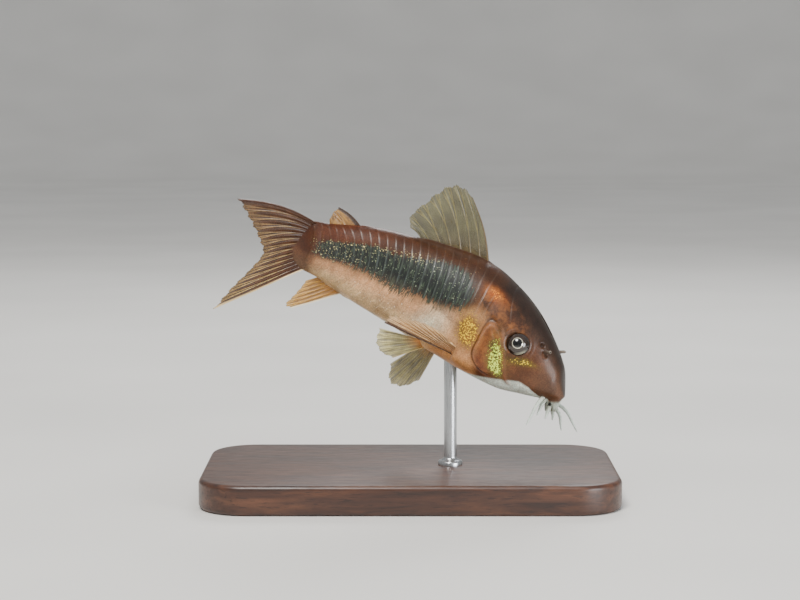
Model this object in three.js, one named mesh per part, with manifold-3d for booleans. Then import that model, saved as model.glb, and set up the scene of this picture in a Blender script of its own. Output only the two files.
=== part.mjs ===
// A bronze corydoras, life size, nosing down and turning, held over a flat base by one rod.
// Millimetres, +Z up, origin at the middle of the base's underside. The fish is drawn straight
// first, with its nose towards +X and its right side towards -Y. Its axis is then bent and the
// whole fish tilted, which gives the swimming pose.
import * as THREE from "three";
import { mergeVertices } from "three/addons/utils/BufferGeometryUtils.js";
import Module from "manifold-3d";

const wasm = await Module();
wasm.setup();

const { abs, atan2, cos, hypot, max, min, PI, round, sign, sin, sqrt } = Math;
const degree = PI / 180;
const { lerp, smoothstep } = THREE.MathUtils;
const mm = (x, y, z) => new THREE.Vector3(x, y, z);
const right = -1;
const left = 1;
const sides = { right, left };

// Driving sizes
const gap = 0.3; // left between a named part and its neighbour
const headEnd = 16.2; // behind the snout, at the rear of the gill covers
const noseRadius = 2.6; // how far back the snout rounds off
const noseLevel = -5.4; // height of the snout's tip
const plateStart = 17.5; // first row edge of the armour
const platePitch = 1.45;
const trunkPlates = 13;
const tailPlates = 9;
const plateRise = 0.26;
const plateSweep = { up: 2.4, down: 1.5 }; // how far row edges lean back from the side line
const sinkDepth = 1.2; // how deep fin roots are drawn before the flesh is cut away from them
const trunkEnd = plateStart + trunkPlates * platePitch;
const tailEnd = 51.6; // root of the tail fin
const eye = { s: 10.1, angle: 67, radius: 2.3, proud: 0.85 };
const orbit = { length: 2.7, angle: 29, rise: 0.18 };
const gillCover = { s: 13.7, angle: 92, length: 2.3, hook: 1.2, round: 26, rise: 0.32 };
const nostril = { s: 5.5, angle: 44, flap: 1.4, radius: 0.5, tip: 0.35, hole: 0.45 };
const lips = { s: 1.5, level: -7.5, length: 1.3, width: 1.75, height: 1.15, slope: 12 };
const finHalf = { web: 0.25, ray: 0.4, rayEdge: 0.24, webEdge: 0.16 }; // half thicknesses
const barbelRadius = { root: 0.38, tip: 0.2 };
const ringSides = 36;

// Outlines of the straight fish, as [distance behind the snout, size]
const topLine = [
  [0, -4.2], [2.6, -0.8], [6.5, 2.6], [11, 5.5], [16, 7.5], [21.2, 8.6], [32.3, 7.4], [41, 6.1],
  [47, 4.5], [52, 4.1],
];
const bottomLine = [
  [0, -6.6], [2.6, -7.2], [6.5, -8.3], [11, -9.4], [21, -9.5], [32, -8.4], [40, -7.3], [46, -5.6],
  [52, -4.3],
];
const halfWidth = [
  [0, 2.3], [2.6, 3.4], [6, 4.7], [10, 5.8], [15, 6.8], [19, 6.9], [25, 6.3], [33, 5.1],
  [41, 3.7], [47, 2.4], [52, 1.3],
];
const widestShare = [[0, 0.4], [6, 0.34], [12, 0.34], [20, 0.38], [32, 0.45], [51, 0.5]];
const bellyRoundness = [[0, 0.9], [5, 0.78], [12, 0.66], [28, 0.68], [40, 0.85], [51, 1]];
const backRoundness = [[0, 0.95], [8, 0.92], [20, 1.06], [34, 1.0], [51, 1]];

// Pose: how far the axis has turned, in degrees, at a distance behind the snout, and the tilt
// of the whole fish
const neck = 15;
const swing = [[15, 0], [26, 11], [38, 24], [50, 36], [60, 43], [72, 47]];
const droop = [[15, 0], [24, 0.5], [33, 2], [40, 5], [47, 8], [56, 13], [72, 20]];
const tilt = { roll: -7, pitch: 25.5, heading: -22 };
const neckPlace = mm(15.5, -3, 29); // where the axis is held at the neck

const base = { length: 70, width: 40, height: 5, corner: 8, bevel: 0.8 };
const rod = { radius: 1.1, sides: 20, station: 25, collar: 2.1, collarHeight: 0.8 };

// A smooth line through [distance, value] pairs
function through(points) {
  const last = points.length - 1;
  const slopes = points.map((_, i) => {
    const before = points[max(i - 1, 0)];
    const after = points[min(i + 1, last)];
    return (after[1] - before[1]) / (after[0] - before[0]);
  });
  return (s) => {
    const found = points.findIndex((p) => p[0] >= s);
    const i = found < 0 ? last - 1 : max(found - 1, 0);
    const [from, to] = [points[i], points[i + 1]];
    const span = to[0] - from[0];
    const t = (min(max(s, from[0]), to[0]) - from[0]) / span;
    const [t2, t3] = [t * t, t * t * t];
    return (
      (2 * t3 - 3 * t2 + 1) * from[1] +
      (t3 - 2 * t2 + t) * span * slopes[i] +
      (3 * t2 - 2 * t3) * to[1] +
      (t3 - t2) * span * slopes[i + 1]
    );
  };
}

const topAt = through(topLine);
const bottomAt = through(bottomLine);
const widthAt = through(halfWidth);
const widestAt = through(widestShare);
const bellyAt = through(bellyRoundness);
const backAt = through(backRoundness);

// A point on the skin: s behind the snout, at an angle in degrees from the midline of the back,
// positive on the fish's left, and lifted off the skin by lift
function skinPoint(s, angle, lift = 0) {
  const nose = s < noseRadius ? sqrt(max(0, 1 - (1 - s / noseRadius) ** 2)) : 1;
  const top = lerp(noseLevel, topAt(s), nose);
  const bottom = lerp(noseLevel, bottomAt(s), nose);
  const widest = lerp(bottom, top, widestAt(s));
  const width = widthAt(s) * nose;
  const [across, up] = [sin(angle * degree), cos(angle * degree)];
  const reach = up > 0 ? top - widest : widest - bottom;
  const power = up > 0 ? backAt(s) : bellyAt(s);
  const y = width * sign(across) * abs(across) ** power;
  const z = reach * sign(up) * abs(up) ** power;
  const outwards = mm(0, y / max(width, 0.01) ** 2, z / max(reach, 0.01) ** 2);
  if (s < noseRadius) outwards.x = (1 - s / noseRadius) * outwards.length() * 1.4;
  outwards.normalize().multiplyScalar(lift);
  return mm(-s, y, widest + z).add(outwards);
}

// Closed shapes. Each is a three.js geometry whose vertices are moved into place.
// A tube: place(share along, angle in degrees, true in the middle of an end)
function tube(rings, around, place) {
  const made = new THREE.CylinderGeometry(1, 1, 1, around, rings);
  const spots = made.getAttribute("position");
  for (let i = 0; i < spots.count; i++) {
    const at = mm().fromBufferAttribute(spots, i);
    const middle = hypot(at.x, at.z) < 0.5;
    const along = round((0.5 - at.y) * rings);
    const angle = round((90 - atan2(at.x, at.z) / degree) * 1000) / 1000;
    spots.setXYZ(i, ...place(along / rings, angle, middle).toArray());
  }
  return made;
}

// A thin sheet with the same triangles on both faces: middle(u, v) is its middle surface and
// half(u, v) half its thickness
function sheet(columns, rows, middle, half) {
  const face = new THREE.PlaneGeometry(1, 1, columns, rows);
  const shares = face.getAttribute("uv");
  const index = [...face.index.array];
  const spots = [];
  const step = 1e-3;
  for (const facing of [1, -1]) {
    for (let i = 0; i < shares.count; i++) {
      const [u, v] = [shares.getX(i), 1 - shares.getY(i)];
      const alongU = middle(min(u + step, 1), v).sub(middle(max(u - step, 0), v));
      const alongV = middle(u, min(v + step, 1)).sub(middle(u, max(v - step, 0)));
      const normal = alongV.cross(alongU).normalize();
      spots.push(...middle(u, v).addScaledVector(normal, facing * half(u, v)).toArray());
    }
  }
  const back = shares.count;
  for (let i = 0; i < face.index.count; i += 3) {
    const [a, b, c] = index.slice(i, i + 3);
    index.push(back + a, back + c, back + b);
  }
  const spot = (column, row) => row * (columns + 1) + column;
  const border = [];
  for (let c = 0; c < columns; c++) border.push(spot(c, 0));
  for (let r = 0; r < rows; r++) border.push(spot(columns, r));
  for (let c = columns; c > 0; c--) border.push(spot(c, rows));
  for (let r = rows; r > 0; r--) border.push(spot(0, r));
  border.forEach((a, i) => {
    const b = border[(i + 1) % border.length];
    index.push(a, b, back + b, a, back + b, back + a);
  });
  const made = new THREE.BufferGeometry();
  made.setAttribute("position", new THREE.Float32BufferAttribute(spots, 3));
  made.setIndex(index);
  return made;
}

// A tapering feeler along a smooth curve
function feeler(points, thick, thin, rings = 9, around = 8) {
  const curve = new THREE.CatmullRomCurve3(points);
  const { normals, binormals } = curve.computeFrenetFrames(rings);
  return tube(rings, around, (along, angle, middle) => {
    const i = round(along * rings);
    const radius = middle ? 0 : lerp(thick, thin, along);
    return curve
      .getPointAt(along)
      .addScaledVector(normals[i], radius * cos(angle * degree))
      .addScaledVector(binormals[i], radius * sin(angle * degree));
  });
}

// A raised plate on the skin: a turned button whose rim follows reach(angle) in millimetres
// along the body and degrees around it
function plate(side, centre, reach, rise, sink = 0.7, segments = 18) {
  const rim = [[0, -sink], [1, -sink], [1, 0.3 * rise], [0.88, rise], [0, 1.2 * rise]];
  const made = new THREE.LatheGeometry(rim.map((p) => new THREE.Vector2(...p)), segments);
  const spots = made.getAttribute("position");
  for (let i = 0; i < spots.count; i++) {
    const [x, lift, z] = [spots.getX(i), spots.getY(i), spots.getZ(i)];
    const [alongS, alongAngle] = reach(x, z);
    const spot = skinPoint(centre.s + alongS, side * (centre.angle + alongAngle), lift);
    spots.setXYZ(i, ...spot.toArray());
  }
  return made;
}

// Joining and cutting
function solid(geometry) {
  const bare = new THREE.BufferGeometry();
  bare.setAttribute("position", geometry.getAttribute("position").clone());
  bare.setIndex(geometry.index);
  const merged = mergeVertices(bare, 1e-4);
  const corners = new Uint32Array(merged.index.array);
  const make = () =>
    new wasm.Manifold(
      new wasm.Mesh({
        numProp: 3,
        vertProperties: merged.getAttribute("position").array,
        triVerts: corners,
      }),
    );
  const made = make();
  if (made.volume() > 0) return made;
  for (let i = 0; i < corners.length; i += 3) {
    [corners[i + 1], corners[i + 2]] = [corners[i + 2], corners[i + 1]];
  }
  return make();
}

function geometryOf(made) {
  const largest = made.decompose().sort((a, b) => b.volume() - a.volume())[0];
  const { vertProperties, triVerts, numProp } = largest.getMesh();
  const geometry = new THREE.BufferGeometry();
  const spots = [];
  for (let i = 0; i < vertProperties.length; i += numProp) {
    spots.push(...vertProperties.slice(i, i + 3));
  }
  geometry.setAttribute("position", new THREE.Float32BufferAttribute(spots, 3));
  geometry.setIndex([...triVerts]);
  return geometry;
}

const joined = (parts) => parts.map(solid).reduce((sum, part) => sum.add(part));

// The flesh, in three lengths. Armour rows are rings that step down at each row's rear edge.
function rowLean(angle) {
  const down = abs(angle > 180 ? angle - 360 : angle);
  if (down < 90) return plateSweep.up * (1 - down / 90) ** 1.3;
  return plateSweep.down * min(1, (down - 90) / 45);
}

function rowLift(angle) {
  const down = abs(angle > 180 ? angle - 360 : angle);
  const sideLine = abs(down - 90) < 6 ? 0.35 : 1;
  return sideLine * smoothstep(down, 5, 25) * (1 - smoothstep(down, 125, 145));
}

// Row edges start straight at the gill covers and straighten again towards the tail fin
const leanOf = (row) => smoothstep(row, -1, 4) * (1 - 0.7 * smoothstep(row, 17, 24));

function armouredRings(first, count, start, end) {
  const rings = [{ s: start, lean: leanOf(first), lift: 0 }];
  const half = 0.06;
  for (let row = first + (first ? 1 : 0); row < first + count; row++) {
    const s = plateStart + row * platePitch;
    const lean = leanOf(row);
    rings.push({ s: s - half, lean, lift: plateRise }, { s: s + half, lean, lift: 0 });
  }
  rings.push({ s: end, lean: leanOf(first + count), lift: plateRise });
  return rings;
}

const headRings = [0.05, 0.3, 0.8, 1.6, 2.6, 4.0, 5.5, 7.0, 8.6, 10.2, 11.8, 13.4, 15.0, headEnd];
const fleshRings = {
  head: headRings.map((s) => ({ s, lean: 0, lift: 0 })),
  trunk: armouredRings(0, trunkPlates, headEnd + gap, trunkEnd - gap / 2),
  tail: armouredRings(trunkPlates, tailPlates, trunkEnd + gap / 2, tailEnd),
};

// One length of flesh, grown by extra all round where it is used to cut another part to fit
function flesh(name, extra = 0) {
  const rings = fleshRings[name];
  return tube(rings.length - 1, ringSides, (along, angle, middle) => {
    const i = round(along * (rings.length - 1));
    const { s, lean, lift } = rings[i];
    const end = i === 0 ? -extra : i === rings.length - 1 ? extra : 0;
    if (middle) {
      const level = s < 0.1 ? noseLevel : lerp(bottomAt(s), topAt(s), 0.5);
      return mm(-s - end, 0, level);
    }
    const at = s + lean * rowLean(angle);
    return skinPoint(at, angle, lift * rowLift(angle) + extra).add(mm(-end, 0, 0));
  });
}

// Head
// The lips are the rim of a short cup, open below
function lipRing(extra = 0) {
  const cup = [
    [0, 0.2], [0.45, 0], [0.7, -0.75], [0.95, -1], [1.15, -0.75], [0.95, 0.1], [1.1, 1.1], [0, 1.1],
  ];
  const turned = new THREE.LatheGeometry(cup.map((p) => new THREE.Vector2(...p)), 18);
  turned.rotateX(90 * degree);
  turned.scale(lips.length + extra, lips.width + extra, lips.height + extra);
  turned.rotateY(lips.slope * degree);
  turned.translate(-lips.s, 0, lips.level);
  return turned;
}

function nostrilFlap(side) {
  const { s, angle, flap } = nostril;
  const spots = [-0.4, flap / 2, flap].map((lift) => skinPoint(s - 0.8 * lift, side * angle, lift));
  return feeler(spots, nostril.radius, nostril.tip, 3, 7);
}

function nostrilHole(side) {
  const hole = new THREE.SphereGeometry(nostril.hole, 8, 6);
  const spot = skinPoint(nostril.s + 1, side * (nostril.angle - 2), 0.1);
  hole.translate(spot.x, spot.y, spot.z);
  return hole;
}

const gillCoverReach = (x, z) => {
  const hook = gillCover.hook * z * z * sign(z + 0.2);
  return [gillCover.length * x - hook, gillCover.round * z];
};
const orbitReach = (x, z) => [orbit.length * x, orbit.angle * z];

function eyeBall(side, extra = 0) {
  const made = new THREE.SphereGeometry(eye.radius + extra, 18, 12);
  const centre = skinPoint(eye.s, side * eye.angle, eye.proud - eye.radius);
  made.rotateX(90 * degree);
  made.translate(centre.x, centre.y, centre.z);
  return made;
}

function head() {
  const raised = Object.values(sides).flatMap((side) => [
    plate(side, gillCover, gillCoverReach, gillCover.rise),
    plate(side, eye, orbitReach, orbit.rise),
    nostrilFlap(side),
  ]);
  const cuts = Object.values(sides).flatMap((side) => [eyeBall(side, gap), nostrilHole(side)]);
  const rear = new THREE.BoxGeometry(10, 40, 40);
  rear.translate(-headEnd - 5, 0, 0);
  return joined([flesh("head"), lipRing(), ...raised])
    .subtract(joined(cuts))
    .subtract(solid(rear));
}

// Fins. Each fans out from its root: rays are ridges on the web between them.
function fin(rayCount, rows, rootAt, tipAt, bow, spineHalf = 0.42) {
  const rayHalf = (ray) => (ray === 0 ? spineHalf : finHalf.ray);
  return sheet(
    2 * (rayCount - 1),
    rows,
    (u, v) => {
      const root = rootAt(u);
      return root.lerp(tipAt(u), v).add(bow(u, v));
    },
    (u, v) => {
      const place = u * (rayCount - 1);
      const nearest = round(place);
      const ridge = 1 - 2 * abs(place - nearest);
      const full = lerp(finHalf.web, rayHalf(nearest), ridge);
      return lerp(full, ridge > 0.5 ? finHalf.rayEdge : finHalf.webEdge, v ** 1.5);
    },
  );
}

// The edge of a fin, as a smooth curve through a few points, root side first
const edge = (...points) => {
  const curve = new THREE.CatmullRomCurve3(points.map((p) => mm(-p[0], p[1], p[2])));
  return (u) => curve.getPoint(u);
};

function dorsalFin() {
  const root = edge([21.3, 0, 8.5 - sinkDepth], [27.2, 0, 8 - sinkDepth], [32.8, 0, 7.4 - sinkDepth]);
  const tips = edge(
    [29.0, 0, 17.1], [30.9, 0, 18.0], [32.7, 0, 17.7], [34.2, 0, 15.8], [35.5, 0, 13.0],
    [36.8, 0, 9.9], [36.1, 0, 8.1],
  );
  return fin(8, 6, root, tips, (u, v) => mm(0.5 * (1 - u) * sin(PI * v), 0, 0.4 * sin(PI * v)), 0.5);
}

function adiposeFin() {
  const root = edge([42.6, 0, 5.8 - sinkDepth], [45.4, 0, 5.0 - sinkDepth], [48.2, 0, 4.3 - sinkDepth]);
  const tips = edge([48.0, 0, 7.4], [48.6, 0, 6.4], [48.9, 0, 4.9]);
  return fin(3, 4, root, tips, (u, v) => mm(0, 0, (1 - u) * 0.5 * sin(PI * v)), 0.48);
}

function analFin() {
  const root = edge([42.0, 0, -7.0 + sinkDepth], [44.2, 0, -6.2 + sinkDepth], [46.4, 0, -5.5 + sinkDepth]);
  const tips = edge([51.0, 0, -11.4], [52.2, 0, -11.1], [51.3, 0, -9.5], [50.3, 0, -7.7], [49.7, 0, -6.2]);
  return fin(7, 6, root, tips, (u, v) => mm(0, 0, -0.4 * sin(PI * v) * (1 - u)), 0.42);
}

// The tail fin's upper lobe curls towards the fish's right
function tailFin() {
  const root = edge([50.4, 0, 3.7], [51.0, 0, 1.4], [50.8, 0, -1.4], [50.0, 0, -3.8]);
  const tips = edge(
    [65.4, -2.4, 6.4], [62.6, -1.4, 3.0], [60.0, -0.6, -0.4], [58.6, 0, -3.0],
    [60.3, 0, -6.1], [63.0, 0, -9.6], [65.6, 0, -13.4],
  );
  const bow = (u, v) => mm(0, -0.8 * max(0, 1 - 2 * u) * sin(PI * v), 0.9 * (1 - 1.6 * u) * sin(PI * v));
  return fin(14, 8, root, tips, bow, 0.5);
}

// The bend draws the right side together and spreads the left, so the left fin is drawn shorter
function pectoralFin(side) {
  const reach = side === right ? 1 : 0.7;
  const at = (s, y, z) => [18 + (s - 18) * reach, side * y, z];
  const root = edge(at(17.4, 5.2, -7.6), at(17.9, 5.7, -6.7), at(18.6, 6.0, -5.6));
  const tips = edge(
    at(34.0, 11.4, -6.5), at(33.6, 10.4, -5.4), at(30.2, 9.6, -4.7),
    at(26.4, 8.9, -4.2), at(22.6, 8.2, -4.4),
  );
  return fin(9, 6, root, tips, (u, v) => mm(0, side * 0.9 * sin(PI * v), -0.2 * v), 0.55);
}

// The two pelvic fins stand differently: the right one lies back, the left one paddles down
const pelvicRoots = {
  right: [[24.6, 3.4, -8.4], [25.4, 4.0, -8.1], [26.4, 4.6, -7.7]],
  left: [[23.8, 3.2, -8.4], [24.6, 3.8, -8.2], [25.4, 4.4, -7.8]],
};
const pelvicTips = {
  right: [[29.4, 6.2, -12.3], [32.0, 7.6, -12.1], [34.0, 8.2, -10.6], [34.4, 8.0, -8.4]],
  left: [[24.4, 5.4, -15.8], [26.4, 6.0, -18.2], [28.6, 6.4, -18.6], [29.8, 6.6, -15.6]],
};

function pelvicFin(name) {
  const placed = (points) => edge(...points.map(([s, y, z]) => [s, sides[name] * y, z]));
  const bow = (u, v) => mm(0, sides[name] * 0.5 * sin(PI * v), 0);
  return fin(6, 5, placed(pelvicRoots[name]), placed(pelvicTips[name]), bow);
}

// Barbels: two at each corner of the mouth and a short pair under the lower lip. Those of the
// right hang down, those of the left are swept forwards.
const barbels = {
  barbel_upper_right: [[2.8, -2.5, -7.3], [2.8, -3.5, -8.8], [2.7, -4.1, -10.5], [2.6, -4.5, -11.9]],
  barbel_lower_right: [[2.4, -1.9, -7.9], [2.3, -2.4, -8.8], [2.0, -2.9, -9.9]],
  barbel_chin_right: [[1.2, -0.9, -8.7], [1.1, -1.1, -9.3], [0.9, -1.2, -10]],
  barbel_upper_left: [
    [2.6, 2.5, -7.4], [0.8, 2.9, -7.4], [-1.0, 3.2, -7.9], [-2.3, 3.9, -9], [-3.7, 4.4, -10.2],
  ],
  barbel_lower_left: [
    [2.2, 2.0, -8], [0.6, 2.4, -8.3], [-0.4, 2.6, -9.1], [-0.9, 2.8, -10], [-1.5, 3, -11.1],
  ],
  barbel_chin_left: [[0.8, 0.9, -8.7], [0.5, 1.1, -9.3], [0.2, 1.2, -10]],
};

// Bending: the axis behind the neck turns little by little
const axisStep = 0.25;
const axisEnd = 72;
const swingAt = through(swing);
const droopAt = through(droop);
const spine = [];
for (let s = neck, at = mm(-neck, 0, 0); s <= axisEnd; s += axisStep) {
  const turn = new THREE.Euler(0, -droopAt(s) * degree, swingAt(s) * degree, "ZYX");
  const frame = new THREE.Quaternion().setFromEuler(turn);
  spine.push({ at: at.clone(), frame });
  at.addScaledVector(mm(-1, 0, 0).applyQuaternion(frame), axisStep);
}

function bent(geometry) {
  const spots = geometry.getAttribute("position");
  for (let i = 0; i < spots.count; i++) {
    const at = mm().fromBufferAttribute(spots, i);
    const along = (-at.x - neck) / axisStep;
    if (along <= 0) continue;
    const step = min(Math.floor(along), spine.length - 2);
    const t = along - step;
    const [from, to] = [spine[step], spine[step + 1]];
    const frame = from.frame.clone().slerp(to.frame, t);
    const spot = from.at.clone().lerp(to.at, t).add(mm(0, at.y, at.z).applyQuaternion(frame));
    spots.setXYZ(i, ...spot.toArray());
  }
  return geometry;
}

// The tilted fish, and the parts in it
const fish = new THREE.Group();
fish.rotation.set(tilt.roll * degree, tilt.pitch * degree, tilt.heading * degree, "ZYX");
fish.position.copy(neckPlace).sub(mm(-neck, 0, 0).applyEuler(fish.rotation));
fish.updateMatrixWorld(true);

const finish = {
  back: [0x6b4733, 0.42, 0.15],
  skin: [0x9c7a62, 0.4, 0.2],
  fin: [0xa5895a, 0.5, 0.05],
  feeler: [0x8f9a86, 0.5, 0],
  eye: [0x14151a, 0.15, 0],
  wood: [0x4a3426, 0.55, 0],
  steel: [0xb9bcc0, 0.3, 1],
};

function part(name, look, geometry) {
  const [color, roughness, metalness] = finish[look];
  const shaped = geometry.toNonIndexed();
  shaped.computeVertexNormals();
  const material = new THREE.MeshStandardMaterial({ color, roughness, metalness });
  const mesh = new THREE.Mesh(shaped, material);
  mesh.name = name;
  return mesh;
}

const fishPart = (name, look, made) => fish.add(part(name, look, bent(geometryOf(made))));

const around = {
  head: joined([flesh("head", gap), lipRing(gap)]),
  trunk: solid(flesh("trunk", gap)),
  tail: solid(flesh("tail", gap)),
};
const fitted = (shape, ...to) => to.reduce((rest, name) => rest.subtract(around[name]), solid(shape));

fishPart("head", "back", head());
fishPart("trunk", "skin", solid(flesh("trunk")));
fishPart("tail", "skin", solid(flesh("tail")));
fishPart("fin_dorsal", "fin", fitted(dorsalFin(), "trunk"));
fishPart("fin_adipose", "fin", fitted(adiposeFin(), "tail"));
fishPart("fin_anal", "fin", fitted(analFin(), "tail"));
fishPart("fin_tail", "fin", fitted(tailFin(), "tail"));
for (const [name, side] of Object.entries(sides)) {
  fishPart("fin_pectoral_" + name, "fin", fitted(pectoralFin(side), "trunk"));
  fishPart("fin_pelvic_" + name, "fin", fitted(pelvicFin(name), "trunk"));
  fishPart("eye_" + name, "eye", solid(eyeBall(side)));
}
for (const [name, points] of Object.entries(barbels)) {
  const placed = points.map(([s, y, z]) => mm(-s, y, z));
  fishPart(name, "feeler", fitted(feeler(placed, barbelRadius.root, barbelRadius.tip), "head"));
}

// Stand: a bevelled slab and one rod cut to the belly
function standBase() {
  const [x, y] = [base.length / 2 - base.bevel, base.width / 2 - base.bevel];
  const r = base.corner;
  const outline = new THREE.Shape();
  outline.moveTo(-x + r, -y).lineTo(x - r, -y);
  outline.absarc(x - r, -y + r, r, -PI / 2, 0);
  outline.absarc(x - r, y - r, r, 0, PI / 2);
  outline.absarc(-x + r, y - r, r, PI / 2, PI);
  outline.absarc(-x + r, -y + r, r, PI, 1.5 * PI);
  const slab = new THREE.ExtrudeGeometry(outline, {
    depth: base.height - 2 * base.bevel,
    bevelThickness: base.bevel,
    bevelSize: base.bevel,
    bevelSegments: 1,
    curveSegments: 5,
  });
  slab.translate(0, 0, base.bevel);
  return slab;
}

const belly = solid(bent(geometryOf(around.trunk)).applyMatrix4(fish.matrixWorld));
const axisPoint = new THREE.BufferGeometry().setFromPoints([mm(-rod.station, 0, 0)]);
const rodTop = bent(axisPoint).applyMatrix4(fish.matrixWorld);
const rodAt = mm().fromBufferAttribute(rodTop.getAttribute("position"), 0);

function upright(radius, length) {
  const bar = new THREE.CylinderGeometry(radius, radius, length, rod.sides);
  bar.rotateX(90 * degree);
  bar.translate(rodAt.x, rodAt.y, base.height + gap + length / 2);
  return bar;
}

const rodBar = upright(rod.radius, rodAt.z - base.height - gap);
const collar = upright(rod.collar, rod.collarHeight);

const model = new THREE.Group();
model.add(fish);
model.add(part("stand_base", "wood", geometryOf(solid(standBase()))));
model.add(part("stand_rod", "steel", geometryOf(joined([rodBar, collar]).subtract(belly))));

export default model;
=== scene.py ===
import math

import bpy
import numpy as np
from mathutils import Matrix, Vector


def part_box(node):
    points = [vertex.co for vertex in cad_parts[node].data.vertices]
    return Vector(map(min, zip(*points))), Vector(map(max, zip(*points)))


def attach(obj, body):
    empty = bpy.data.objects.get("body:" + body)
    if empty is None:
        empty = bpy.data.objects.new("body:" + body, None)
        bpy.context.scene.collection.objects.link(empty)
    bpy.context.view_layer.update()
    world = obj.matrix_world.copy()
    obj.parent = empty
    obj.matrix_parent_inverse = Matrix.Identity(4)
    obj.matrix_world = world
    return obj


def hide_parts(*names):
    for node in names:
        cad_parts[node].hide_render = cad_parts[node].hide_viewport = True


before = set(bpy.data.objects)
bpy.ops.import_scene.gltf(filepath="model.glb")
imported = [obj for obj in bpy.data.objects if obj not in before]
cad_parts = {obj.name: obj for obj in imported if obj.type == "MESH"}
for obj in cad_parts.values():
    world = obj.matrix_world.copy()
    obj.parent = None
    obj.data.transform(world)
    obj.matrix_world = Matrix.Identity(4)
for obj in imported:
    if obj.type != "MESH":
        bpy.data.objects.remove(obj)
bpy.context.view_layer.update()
print("frame loaded")

mm = 0.001  # the fish is drawn in millimetres
sides = {"right": -1, "left": 1}

# the fish, drawn straight first, with the snout towards +X

fishShape = {
    "noseRadius": 2.6,
    "noseLevel": -5.4,
    "top": [
        [0, -4.2], [2.6, -0.8], [6.5, 2.6], [11, 5.5], [16, 7.5],
        [21.2, 8.6], [32.3, 7.4], [41, 6.1], [47, 4.5], [52, 4.1],
    ],
    "bottom": [
        [0, -6.6], [2.6, -7.2], [6.5, -8.3], [11, -9.4], [21, -9.5],
        [32, -8.4], [40, -7.3], [46, -5.6], [52, -4.3],
    ],
    "halfWidth": [
        [0, 2.3], [2.6, 3.4], [6, 4.7], [10, 5.8], [15, 6.8], [19, 6.9],
        [25, 6.3], [33, 5.1], [41, 3.7], [47, 2.4], [52, 1.3],
    ],
    "widest": [[0, 0.4], [6, 0.34], [12, 0.34], [20, 0.38], [32, 0.45], [51, 0.5]],
    "belly": [[0, 0.9], [5, 0.78], [12, 0.66], [28, 0.68], [40, 0.85], [51, 1]],
    "back": [[0, 0.95], [8, 0.92], [20, 1.06], [34, 1], [51, 1]],
}

# past the last row of plates the skin thins down over the tail fin's root
sheath = {
    "start": 50.4,
    "end": 54,
    "thinning": 0.93,
    "dip": 0.12,
    "rounding": 0.34,  # of its upper and lower corners
    "roundedFrom": 51.8,
    "roundedTo": 54.6,
    "fingers": 0.55,
    "fingersFrom": 52.2,
}

# degrees the axis has turned at a distance behind the snout, and the tilt of the whole fish
pose = {
    "neck": 15,
    "swing": [[15, 0], [26, 11], [38, 24], [50, 36], [60, 43], [72, 47]],
    "droop": [[15, 0], [24, 0.5], [33, 2], [40, 5], [47, 8], [56, 13], [72, 20]],
    "roll": -7,
    "pitch": 25.5,
    "heading": -22,
    "neckPlace": (15.5, -3, 29),
    "end": 76,  # where the axis stops
    "step": 0.25,
}


def through(points):
    xs, ys = np.array(points, float).T
    last = len(xs) - 1
    before = np.maximum(np.arange(last + 1) - 1, 0)
    after = np.minimum(np.arange(last + 1) + 1, last)
    slopes = (ys[after] - ys[before]) / (xs[after] - xs[before])

    def at(s):
        s = np.clip(s, xs[0], xs[-1])
        i = np.clip(np.searchsorted(xs, s) - 1, 0, last - 1)
        span = xs[i + 1] - xs[i]
        t = (s - xs[i]) / span
        ends = (2 * t**3 - 3 * t**2 + 1) * ys[i] + (3 * t**2 - 2 * t**3) * ys[i + 1]
        return ends + span * ((t**3 - 2 * t**2 + t) * slopes[i] + (t**3 - t**2) * slopes[i + 1])

    return at


def climb(x, low, high):
    t = np.clip((np.asarray(x, float) - low) / (high - low), 0, 1)
    return t * t * (3 - 2 * t)


def fall(x, low, high):
    return 1 - climb(x, low, high)


def bump(x, width):
    return np.exp(-((np.asarray(x, float) / width) ** 2))


def unit(vectors, least=1e-9):
    return vectors / np.maximum(np.linalg.norm(vectors, axis=-1, keepdims=True), least)


def allRound(count):
    return np.linspace(0, 2 * math.pi, count, endpoint=False)


def turn(roll, pitch, heading):
    angles = np.radians([roll, pitch, heading])
    (cr, cp, ch), (sr, sp, sh) = np.cos(angles), np.sin(angles)
    aboutX = np.array([[1, 0, 0], [0, cr, -sr], [0, sr, cr]])
    aboutY = np.array([[cp, 0, sp], [0, 1, 0], [-sp, 0, cp]])
    aboutZ = np.array([[ch, -sh, 0], [sh, ch, 0], [0, 0, 1]])
    return aboutZ @ aboutY @ aboutX


outline = {name: through(rows) for name, rows in fishShape.items() if isinstance(rows, list)}


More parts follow.
